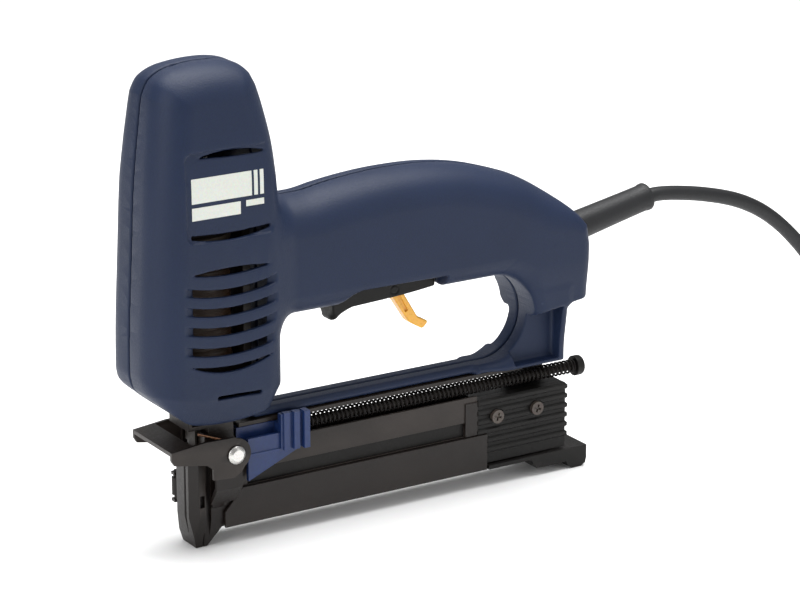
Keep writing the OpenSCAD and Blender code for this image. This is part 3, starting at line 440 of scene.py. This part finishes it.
BODY_OF = {node: body for body, nodes in frame["record"]["behaviour"]["bodies"].items() for node in nodes}
SLOT_OF = {row["node"]: row["material_slot"] for row in frame["record"]["subparts"]}
# Pieces that look darker or more worn than the rest of their slot
REPAINTED = {"driver_blade": "dark_steel", "guide_rod": "dark_steel", "block_screws": "screw_steel"}
# Broken edge of every piece that is taken over from the CAD as it is
BROKEN_EDGE = 0.22


def soften(node, width=BROKEN_EDGE):
    """A copy of a CAD node with its edges broken, which then stands for it."""
    mesh = frame["nodes"][node].data.copy()
    mesh.name = node + "_piece"
    piece = add_object(node + "_piece", mesh)
    bevel_mesh(mesh, width)
    shade(piece)
    place_piece(piece, BODY_OF[node], SLOT_OF[node], node)
    if node in REPAINTED:
        piece.data.materials[0] = MATERIALS[REPAINTED[node]]
    return piece


# ------------------------------------------------------------------ cord

CORD_R = 3.2
LEAD = [(210, 0, 109.2), (218, 0, 110.8), (224, 0, 111.4), (230, 0, 111), (237, 0, 110), (245, 0, 108.6),
        (253, 0, 106.8), (262, 0, 104.4), (271, 0, 101.2), (281, 0, 96.2), (291, 0, 89.2), (301, 0, 80),
        (310, -0.4, 69.8), (318, -2, 59), (325, -4.6, 47.8), (331, -8, 37), (337, -12, 26.8),
        (344, -15.8, 17.6), (352, -18.2, 10.8), (360, -19.2, 6.4), (368, -19.3, 4.5)]
END = [(386, -12.5, 17.5), (393, -11.5, 18), (400, -9.2, 19), (407, -6, 20.4), (414, -2, 22.1),
       (421, 1.8, 23.7), (428, 4.8, 24.9), (434, 6.2, 25.6), (440, 6.5, 25.8), (447, 6.5, 25.8)]
# Distance between the middles of two strands that lie side by side
STRAND = 2 * CORD_R + 0.2
# The hank: centre of its first fold, length of its straight runs, radius of its outer strands at a fold
HANK_AT = (378, 6.5)
HANK_RUN = 110
HANK_FOLD = 22.5 + STRAND / 2
# Where each change begins, in quarters of a lap: a step to the other column, or up to the next layer
STEPS_ACROSS = [(2.67, 1), (10.0, -1), (16.33, 1)]
STEPS_UP = [6.33, 12.67]
STEP_LENGTH = 0.33


def hank_points():
    """Five laps of the hank: along the front, round the far fold, back, and round the near fold."""
    made = []
    per_quarter = 12
    for i in range(20 * per_quarter + 1):
        at = i / per_quarter
        column = sum(way * float(ease(at, start, start + STEP_LENGTH)) for start, way in STEPS_ACROSS)
        layer = sum(float(ease(at, start, start + STEP_LENGTH)) for start in STEPS_UP)
        r = HANK_FOLD - STRAND * column
        quarter, share = int(at) % 4, at - int(at)
        if quarter in (0, 2):
            way = 1 if quarter == 0 else -1
            place = (HANK_RUN * (share if way > 0 else 1 - share), -way * r)
        else:
            turned = math.radians(180 * share - (90 if quarter == 1 else -90))
            place = ((HANK_RUN if quarter == 1 else 0) + r * math.cos(turned), r * math.sin(turned))
        made.append((HANK_AT[0] + place[0], HANK_AT[1] + place[1], 1 + CORD_R + STRAND * layer))
    return made


def lay_cord():
    route = LEAD + hank_points() + END
    data = bpy.data.curves.new("mains_cord", "CURVE")
    data.dimensions = "3D"
    data.bevel_depth = CORD_R * MM
    data.bevel_resolution = 4
    data.use_fill_caps = True
    data.resolution_u = 4
    line = data.splines.new("NURBS")
    line.points.add(len(route) - 1)
    for point, p in zip(line.points, route):
        point.co = (p[0] * MM, p[1] * MM, p[2] * MM, 1)
    line.order_u = 3
    line.use_endpoint_u = True
    cord = bpy.data.objects.new("mains_cord", data)
    bpy.context.scene.collection.objects.link(cord)
    return place_piece(cord, "housing", "rubber", "cord_lead", "cord_hank", "cord_end")


# Where the strain relief leaves the shells, in X and Z, and how far it points up
RELIEF_AT = (178, 102.4)
RELIEF_TILT = math.radians(12)
# How far the plug's body runs from its rear end, and its pins to each side of the middle
PLUG_LENGTH = 40
PIN_OFFSET = 9.5


def make_cord_pieces():
    root = (RELIEF_AT[0], 0, RELIEF_AT[1])
    along = (math.cos(RELIEF_TILT), 0, math.sin(RELIEF_TILT))
    # Tapering sleeve with a rolled rim at its tip and a collar in the shells
    profile = [(-5.9, 3.25), (-5.9, 6.2), (-0.6, 6.25), (0.2, 6.3), (6, 6.25), (14, 6.1), (24, 5.9),
               (34, 5.75), (39.4, 5.7), (40.4, 6.0), (41.8, 6.05), (42.4, 5.7), (42.5, 4.6), (42.2, 3.25)]
    relief = lathe("strain_relief_piece", profile, root, along, 40)
    shade(relief, 50, weighted=False)
    place_piece(relief, "housing", "rubber", "strain_relief")
    low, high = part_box("plug_body")
    axis_y = (low.y + high.y) / 2 / MM
    axis_z = (low.z + high.z) / 2 / MM
    rear = low.x / MM
    profile = [(0, 3.3), (0.2, 4.6), (3, 4.8), (3.2, 4.2), (4, 4.2), (4.2, 5.1), (7, 5.3), (7.2, 4.7),
               (8, 4.7), (8.2, 5.7), (11, 6), (14, 7), (17, 10), (20, 11.2), (27, 11.6), (29, 13),
               (31, 16.2), (32, 17.4), (39, 17.4), (39.9, 16.4), (PLUG_LENGTH, 13), (39.6, 0.01)]
    plug = lathe("plug_body_piece", profile, (rear, axis_y, axis_z), (1, 0, 0), 56)
    shade(plug, 50, weighted=False)
    place_piece(plug, "housing", "rubber", "plug_body")
    pins = []
    for side in (-1, 1):
        profile = [(0, 2.4), (14, 2.4), (14.2, 2.3), (17.6, 2.3), (18.6, 1.8), (19, 0.9), (19, 0.01)]
        foot = (rear + PLUG_LENGTH, axis_y + side * PIN_OFFSET, axis_z)
        pins.append(lathe("pin", profile, foot, (1, 0, 0), 28))
    pins = join("plug_pins_piece", pins)
    shade(pins, 50, weighted=False)
    place_piece(pins, "housing", "bright_steel", "plug_pins")
    tie = soften("cord_tie", 0.3)
    return [relief, plug, pins, tie]


# ------------------------------------------------------------------ housing

TOWER_HALF = 22.0
GRIP_HALF = 17.0
BAR_HALF = 6.5
BAR_TOP = 53.4
HAND_R = 19.3
HAND_END = (134.7, 72.7)
# Half the gap between the shells
SEAM = 0.55
WALL = 2.4
# Height of the step under the grip's rear, and depth of the label's recess
GRIP_STEP = 74.2
LABEL_DEPTH = 1.0
# Screw wells of the right shell, in X and Z
SCREWS = [(-14.6, 64.5), (25, 64.5), (-15, 147), (22.5, 147), (48, 128), (134, 126), (160, 84)]
# Small dents on the seam of the crown: X, Z and half length
DENTS = [(7, 197, 3.4), (-6, 196, 2.4)]


def tower_outline():
    front = smooth_line([(-27.2, 40), (-27.2, 70), (-26.7, 94), (-25.1, 122), (-23.2, 153), (-19.9, 181)], 5)
    crown = smooth_line([(-19.2, 185.6), (-16.2, 191.2), (-10.6, 194.6), (-3.5, 196.1), (5, 196.7),
                         (13, 196.3), (19.4, 194.6), (23.4, 191.4)], 5)
    rear = smooth_line([(25.6, 187), (27.3, 180), (29.2, 168), (30.6, 156), (31.6, 144), (32, 130),
                        (32, 40)], 5)
    return front + crown + rear


def grip_outline():
    crown = smooth_line([(10, 138.6), (42, 138.6), (50, 138.9), (59, 140.4), (72, 141.9), (87, 142.7),
                         (106, 142.2), (125, 139.2), (145, 132.9), (155, 128.2), (165, 121.8), (174, 114.6),
                         (180, 108)], 5)
    return crown + [(181.4, 100), (181.2, 60), (10, 60)]


def tower_half_width(z):
    return np.interp(z, [0, 140, 152, 168, 181, 190, 200], [22, 22, 21.9, 20.9, 19.6, 18.6, 17.6])


def tower_field(x, y, z):
    outline = outline_distance(x, z, tower_outline())
    side = y - tower_half_width(z)
    plan_r = 14 - 4 * ease(x, -8, 14)
    corner = plan_r + (13.5 - plan_r) * ease(z, 160, 188)
    solid = both(outline, side, corner)
    chamfer = -(x + 27.4) * 0.807 - (z - 71) * 0.590
    solid = both(solid, chamfer, 4.0)
    # Bevel round the foot, rising towards the front
    rise = 67 + 3.4 * ease(-x, 4, 24)
    bevel = solid * 0.906 + (rise - z) * 0.423
    solid = both(solid, bevel, 0.25)
    floor = 53.6 + 0.0075 * (x - 8) ** 2 - z
    return both(solid, floor, 2.2)


def hand_hole(x, z):
    """Positive inside the hand opening."""
    return -np.minimum(np.maximum(np.abs(z - HAND_END[1]) - HAND_R, x - HAND_END[0]),
                       np.hypot(x - HAND_END[0], z - HAND_END[1]) - HAND_R)


def grip_field(x, y, z):
    outline = outline_distance(x, z, grip_outline())
    hole = hand_hole(x, z)
    half = GRIP_HALF - 1.6 * ease(-z, -95, -76) - 0.6 * ease(x, 150, 182)
    corner = 15.5 - 9.5 * ease(x - 0.35 * (z - 100), 150, 176)
    solid = both(outline, y - half, corner)
    solid = both(solid, hole, 5 + 4 * ease(z, 82, 95))
    step = GRIP_STEP + 2.0 * ease(x, 154, 181) - z
    return both(solid, step, 1.0)


def column_field(x, y, z):
    hole = -(np.hypot(x - HAND_END[0], z - HAND_END[1]) - HAND_R)
    half = 12.2 + 2.4 * ease(z, 54, 78) - 2.6 * ease(-x, -146, -130)
    solid = both(both(128 - x, x - 170.6, 1.0), both(49.6 - z, z - 84, 0.5), 0.8)
    solid = both(solid, y - half, 2.4)
    return both(solid, hole, 5.0)


def pocket_field(x, y, z):
    """Recess in each side of the column: an arched front, a lip behind and the grip's step as its roof."""
    front = np.hypot(x - 167, z - 54) - 21.8
    roof = GRIP_STEP + 1.8 * ease(x, 154, 181)
    rim = np.maximum(x - 167.2, np.maximum(51.4 - z, z - roof))
    return both(both(front, rim, 1.0), 6.6 - y, 1.2)


# Openings in each side of the tower: middle height, height, front end, rear end and rise at the ends
VENTS = [(109.2, 3.2, -7.9, 22.6, 1.7), (101.6, 3.3, -7.9, 22.6, 1.7), (93.8, 3.4, -8.0, 22.4, 1.7),
         (85.6, 3.4, -8.2, 22.2, 1.7)]


def vent_field(x, y, z):
    """All the openings of one side together, negative where plastic is taken away."""
    middle = 7.0
    inner = 12 - y
    across = ((x - middle) / 15.5) ** 2
    cuts = []
    for height, tall, front, rear, rise in VENTS:
        level = z - height - rise * across
        window = np.maximum(np.abs(level) - tall / 2, np.maximum(front - x, x - rear))
        ramp = np.maximum(front - 5.4 - x, x - rear - 4.6)
        ramp_floor = TOWER_HALF - 2.6 + 0.46 * np.maximum(np.maximum(front - x, x - rear), 0) - y
        recess = np.maximum(np.maximum(np.abs(level) - tall / 2, ramp), ramp_floor)
        cuts.append(np.minimum(np.maximum(window, inner), recess))
    # Lens-shaped opening above them, flat below and arched above
    lens = np.maximum(z - 119.2 + 0.9 * across, 116.2 + 1.6 * across - z)
    cuts.append(np.maximum(lens, inner))
    # Crescent below them
    crescent = np.maximum(z - 79.6 - 1.5 * across, 77.1 + 3.3 * across - z)
    cuts.append(np.maximum(crescent, inner))
    # Thin slot in the bevel
    slot = np.maximum(np.abs(z - 66.9 + 0.03 * (x - 10)) - 0.75, np.abs(x - 10) - 9.8)
    cuts.append(np.maximum(slot, inner))
    # Openings above and below the label
    bow = ((x - 8) / 15) ** 2
    top = np.maximum(z - 165.1 + 1.9 * bow, 162.6 - 0.03 * (x - 8) + 0.5 * bow - z)
    cuts.append(np.maximum(np.maximum(top, np.abs(x - 8) - 14.6), inner))
    low = np.maximum(z - 132.9 - 0.7 * across, 130.2 + 1.7 * across - z)
    cuts.append(np.maximum(np.maximum(low, np.abs(x - 7.6) - 17.2), inner))
    field = cuts[0]
    for c in cuts[1:]:
        field = np.minimum(field, c)
    return field


def label_field(x, y, z):
    flat = both(both(-11.6 - x, x - 26.4, 3.5), both(130.5 - z, z - 165.8, 3.5), 3.5)
    return np.maximum(flat, tower_half_width(z) - LABEL_DEPTH - y)


def housing_field(x, y, z, right):
    tower = tower_field(x, y, z)
    grip = grip_field(x, y, z)
    column = column_field(x, y, z)
    hole = hand_hole(x, z)
    grip = np.maximum(either(grip, column, 3.0), hole)
    solid = either(tower, grip, 8.5)
    bar = both(both(49.6 - z, z - BAR_TOP, 0.4), both(y - BAR_HALF, np.maximum(24 - x, x - 150), 0.4), 2.2)
    bar = np.maximum(bar, 49.7 - z)
    hole_keep = -(np.hypot(x - HAND_END[0], z - HAND_END[1]) - HAND_R)
    bar = np.where(x > HAND_END[0], np.maximum(bar, hole_keep), bar)
    solid = either(solid, bar, 1.6)
    solid = np.where(x > 60, np.maximum(solid, hole), solid)
    inside = np.maximum(tower + WALL, 58 - z)
    solid = np.maximum(solid, -inside)
    solid = both(solid, -pocket_field(x, y, z), 0.5)
    solid = both(solid, -label_field(x, y, z), 0.35)
    solid = both(solid, -vent_field(x, y, z), 0.45)
    # Hollow and slot over the trigger, with the shells cut back beside it
    slot = np.maximum(np.maximum(y - 6.8, np.abs(z - 92) - 12), np.maximum(59.4 - x, x - 109.7))
    slot = np.maximum(slot, z - 98 - 0.12 * (110 - x))
    solid = np.maximum(solid, -slot)
    beside = outline_distance(x, z, [(58.5, 76), (58.5, 90.2), (61, 93.4), (64.6, 96.8), (69, 98.3),
                                     (109.5, 97.8), (109.5, 76)])
    solid = both(solid, -beside, 0.4)
    # Mouth for the nose bracket
    solid = np.maximum(solid, -np.maximum(np.maximum(-8.4 - x, x - 15.4), np.maximum(y - 8.4, z - 62)))
    # Way for the strain relief
    away_x, away_z = x - RELIEF_AT[0], z - RELIEF_AT[1]
    along = away_x * math.cos(RELIEF_TILT) + away_z * math.sin(RELIEF_TILT)
    off = -away_x * math.sin(RELIEF_TILT) + away_z * math.cos(RELIEF_TILT)
    solid = both(solid, -np.maximum(np.hypot(off, y) - 6.45, -6 - along), 0.6)
    for dent_x, dent_z, dent_r in DENTS:
        dent = np.sqrt(((x - dent_x) / dent_r) ** 2 + (y / 1.5) ** 2 + ((z - dent_z) / 1.6) ** 2) - 1
        solid = np.maximum(solid, -dent * 1.4)
    if right:
        for sx, sz in SCREWS:
            well = np.maximum(np.hypot(x - sx, z - sz) - 3.0, 11.6 - y)
            solid = both(solid, -well, 0.4)
    return both(solid, SEAM - y, 0.4)


def make_housing():
    step = 0.55
    low = (-29.0, -1.2, 48.4)
    x, y, z = grid_of(low, (183.5, 23.5, 198.8), step)
    for side, node in ((-1, "housing_left"), (1, "housing_right")):
        field = housing_field(x, y, z, side > 0)
        piece = mesh_of_field(node + "_shell", field, low, step, 0.3, mirror=side < 0)
        place_piece(piece, "housing", "shell", node)


def label_bar(name, x0, x1, z0, z1):
    """A printed bar that follows the recess."""
    rows = 8
    points, faces = [], []
    for i in range(rows + 1):
        z = z0 + (z1 - z0) * i / rows
        y = -(float(tower_half_width(z)) - LABEL_DEPTH) - 0.05
        for x in (x0, x1):
            points.append((x, y, z))
    for i in range(rows):
        faces.append([2 * i, 2 * i + 1, 2 * i + 3, 2 * i + 2])
    piece = add_object(name, mesh_from(name, points, faces))
    modifier = piece.modifiers.new("thick", "SOLIDIFY")
    modifier.thickness = 0.08 * MM
    modifier.offset = 0
    apply_modifiers(piece)
    return piece


def make_label():
    bars = [label_bar("bar", -9.2, 16.8, 146.2, 155.9), label_bar("bar", 17.8, 19.4, 146.2, 155.9),
            label_bar("bar", 20.4, 22, 146.2, 155.9), label_bar("bar", -9.2, 11.8, 139.6, 144.6),
            label_bar("bar", 14.2, 22, 142.2, 144.6)]
    place_piece(join("label_print", bars), "housing", "label", "label_plate")


# ------------------------------------------------------------------ trigger and lock lever

TRIGGER_HALF = 6.2
LOCK_PIN = (90, 92.6)
# Share of the CAD pin's length that stays inside the trigger
PIN_SHARE = 0.57


def make_trigger():
    step = 0.3
    low = (53.5, -7.2, 81.5)
    x, y, z = grid_of(low, (111, 7.2, 99.5), step)
    under = smooth_line([(61.1, 88), (61.2, 84.4), (62.2, 83.3), (64.3, 83.7), (67, 86.2), (69.8, 88),
                         (73.4, 88.4), (89, 89.2), (99, 89.9), (108.8, 90.9)], 4)
    outline = under + [(109.4, 91.6), (109.4, 97.6), (61.1, 97.6)]
    side = outline_distance(x, z, outline)
    solid = both(side, np.abs(y) - TRIGGER_HALF, 0.7 + 3.6 * ease(-z, -89, -85))
    slot = np.maximum(np.abs(y) - 2.6, np.maximum(86.2 - x, x - 102.9))
    solid = np.maximum(solid, -slot)
    off_pin = np.hypot(x - LOCK_PIN[0], z - LOCK_PIN[1])
    ring = np.maximum(np.abs(off_pin - 1.8) - 0.3, 5.9 - np.abs(y))
    solid = np.maximum(solid, -ring)
    piece = mesh_of_field("trigger_piece", solid, low, step, 0.5)
    place_piece(piece, "trigger", "black_plastic", "trigger")


def make_trigger_pin():
    """The pin, flush with the trigger's sides where the shells are cut back."""
    piece = soften("trigger_pin", 0.2)
    for vertex in piece.data.vertices:
        vertex.co.y *= PIN_SHARE


def make_lock_lever():
    step = 0.22
    low = (86, -3, 71)
    x, y, z = grid_of(low, (110, 3, 97), step)
    outline = [(88.6, 93.4), (89, 90.4), (91.9, 87.4), (98.9, 76.6), (100.6, 75.2), (105.4, 72.4),
               (106.4, 72.6), (108.2, 74.4), (108, 75.4), (103.4, 77.9), (97.2, 88.2), (93, 94.6),
               (91.4, 95.4), (89.4, 94.8)]
    side = outline_distance(x, z, outline)
    solid = both(side + 0.3, np.abs(y) - 2.3, 0.5) - 0.3
    groove = outline_distance(x, z, [(93.4, 88), (94.6, 88.6), (98.6, 81.6), (97.4, 80.8)])
    solid = both(solid, -np.maximum(groove, 1.7 - np.abs(y)), 0.2)
    solid = np.maximum(solid, -(np.hypot(x - LOCK_PIN[0], z - LOCK_PIN[1]) - 1.25))
    piece = mesh_of_field("lock_lever_piece", solid, low, step, 0.6)
    place_piece(piece, "lock_lever", "amber_plastic", "lock_lever")


# ------------------------------------------------------------------ springs


def spring(name, node, axis_point, radius, wire, turns, joint=None, sides=8, axis="Z"):
    """A true helix in place of the node's plain sleeve."""
    low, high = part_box(node)
    k = "XYZ".index(axis)
    start = low[k] / MM + wire / 2
    end = high[k] / MM - wire / 2
    wire_route = helix(start, end, radius, turns)
    if axis == "X":
        route = [(p[2], axis_point[0] + p[0], axis_point[1] + p[1]) for p in wire_route]
    else:
        route = [(axis_point[0] + p[0], axis_point[1] + p[1], p[2]) for p in wire_route]
    piece = sweep(name, route, wire / 2, sides)
    shade(piece, 60, weighted=False)
    place_piece(piece, BODY_OF[node], "spring_steel", node)
    if joint:
        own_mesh(piece)


def make_springs():
    spring("follower_spring_wire", "follower_spring", (-4, 43.4), 2.6, 0.95, 66, "pusher_slide",
           axis="X")
    spring("return_spring_wire", "return_spring", (0, 0), 9.1, 1.4, 7, "driver_stroke", sides=10)
    spring("trigger_spring_wire", "trigger_spring", (67.6, 0), 2.4, 0.7, 8, "trigger_pull")
    spring("catch_spring_wire", "catch_spring", (3, 46.6), 1.9, 0.8, 14, axis="X")


# ------------------------------------------------------------------ floor


def make_floor():
    """A pale floor that curves up behind into a backdrop."""
    # In metres, with points along Y and Z
    depth, height, r, half, front = 2.6, 2.2, 0.7, 4.5, -3.0
    steps = 12
    turns = [math.pi / 2 * i / steps for i in range(steps + 1)]
    curve = [(depth - r + r * math.sin(t), r - r * math.cos(t)) for t in turns]
    outline = [(front, 0.0)] + curve + [(depth, height)]
    points = [(x * 1000, y * 1000, z * 1000) for y, z in outline for x in (-half, half)]
    faces = [[2 * i, 2 * i + 1, 2 * i + 3, 2 * i + 2] for i in range(len(outline) - 1)]
    floor = add_object("floor", mesh_from("floor", points, faces))
    floor.data.shade_smooth()
    paper = surface("floor_paper", (0.93, 0.93, 0.93), 0.985, (0.7, 0.8), grain=300, bump=0.02)
    floor.data.materials.append(paper)
    # A little below the tool's feet
    floor.location.z = -0.0002


# ------------------------------------------------------------------ run

aim_camera()
light_scene()
cord = lay_cord()
cord_pieces = make_cord_pieces()
make_housing()
make_label()
make_trigger()
make_trigger_pin()
make_lock_lever()
make_springs()

DONE = {name for piece in bpy.data.objects for name in piece.get("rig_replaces", [])}
for node_name in sorted(frame["nodes"]):
    if node_name not in DONE:
        soften(node_name)

make_floor()
